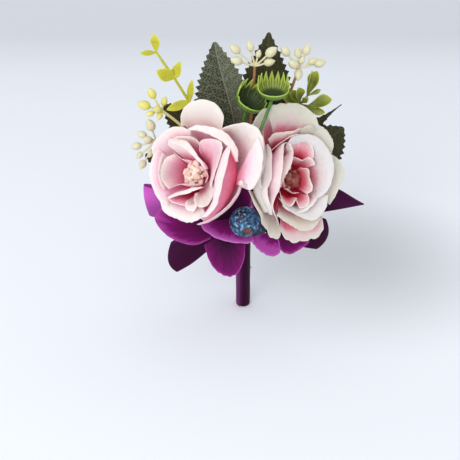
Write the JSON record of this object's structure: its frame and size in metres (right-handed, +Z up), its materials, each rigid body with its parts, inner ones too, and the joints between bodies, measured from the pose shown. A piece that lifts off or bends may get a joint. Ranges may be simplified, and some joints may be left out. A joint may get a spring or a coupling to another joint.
{
  "type": "buttonhole corsage",
  "caption": "Artificial buttonhole corsage: cloth roses, leaves, sprigs and berries with a purple satin bow on a ribbon-wrapped stem, worn by a hinged bar pin behind it.",
  "frame": {"origin": "middle of the bar pin's back face, which lies against the lapel", "axes": "+Z up along the stem, -Y out of the flowers' faces, +Y into the lapel"},
  "size_m": [0.1095, 0.0497, 0.1414],
  "materials": {
    "rose_cloth": "matt polyester cloth, pink with cream edges",
    "stamen_plastic": "grainy, straw coloured",
    "calyx_plastic": "moulded, matt",
    "leaf_cloth": "printed cloth, dark green with pale veins",
    "lime_plastic": "moulded, soft sheen",
    "cream_plastic": "moulded, soft sheen",
    "cup_plastic": "moulded, soft sheen",
    "olive_plastic": "moulded, soft sheen",
    "berry_foam": "painted foam with a pale bloom",
    "floret_cloth": "matt polyester cloth",
    "satin": "satin ribbon",
    "taped_wire": "paper-wrapped steel wire",
    "floral_tape": "waxed crepe paper",
    "nickel": "bright nickel plate"
  },
  "bodies": {
    "corsage": {"stem_ribbon_wrap": "satin", "stem_floral_tape": "floral_tape", "bow_tie_band": "satin", "bow_loop_left": "satin", "bow_loop_lower_left": "satin", "bow_loop_lower_right": "satin", "bow_loop_upper": "satin", "bow_tail_right": "satin", "pin_plate": "nickel", "pin_rivet": "nickel", "rose_left_calyx": "calyx_plastic", "rose_left_petals_1": "rose_cloth", "rose_left_petals_2": "rose_cloth", "rose_left_petals_3": "rose_cloth", "rose_left_petals_4": "rose_cloth", "rose_left_guard": "rose_cloth", "rose_left_stamens": "stamen_plastic", "rose_left_wire": "taped_wire", "rose_right_calyx": "calyx_plastic", "rose_right_petals_1": "rose_cloth", "rose_right_petals_2": "rose_cloth", "rose_right_petals_3": "rose_cloth", "rose_right_petals_4": "rose_cloth", "rose_right_petals_5": "rose_cloth", "rose_right_guard_upper": "rose_cloth", "rose_right_guard_lower": "rose_cloth", "rose_right_stamens": "stamen_plastic", "rose_right_wire": "taped_wire", "leaf_tall_left": "leaf_cloth", "leaf_tall_left_wire": "taped_wire", "leaf_tall_right": "leaf_cloth", "leaf_tall_right_wire": "taped_wire", "leaf_left_upper": "leaf_cloth", "leaf_left_upper_wire": "taped_wire", "leaf_left_lower": "leaf_cloth", "leaf_left_lower_wire": "taped_wire", "leaf_right_upper": "leaf_cloth", "leaf_right_upper_wire": "taped_wire", "leaf_right_lower": "leaf_cloth", "leaf_right_lower_wire": "taped_wire", "sprig_lime": "lime_plastic", "sprig_cream_left_upper": "cream_plastic", "sprig_cream_left_lower": "cream_plastic", "sprig_cream_middle": "cream_plastic", "sprig_cream_right": "cream_plastic", "sprig_olive": "olive_plastic", "fringed_cup_left": "cup_plastic", "fringed_cup_right": "cup_plastic", "blueberry_front": "berry_foam", "blueberry_back": "berry_foam", "blueberry_wires": "taped_wire", "floret_left": "floret_cloth", "floret_left_wire": "taped_wire", "floret_right": "floret_cloth", "floret_right_wire": "taped_wire"},
    "needle": {"pin_needle": "nickel"},
    "catch": {"pin_catch": "nickel"}
  },
  "joints": [
    {"name": "needle_swing", "type": "hinge", "parent": "corsage", "child": "needle", "pos_m": [0, 0.0054, 0.0105], "axis": [1, 0, 0], "range_deg": [0, 75]},
    {"name": "catch_turn", "type": "hinge", "parent": "corsage", "child": "catch", "pos_m": [0, 0.0054, -0.01], "axis": [0, 0, 1], "range_deg": [0, 100]}
  ]
}
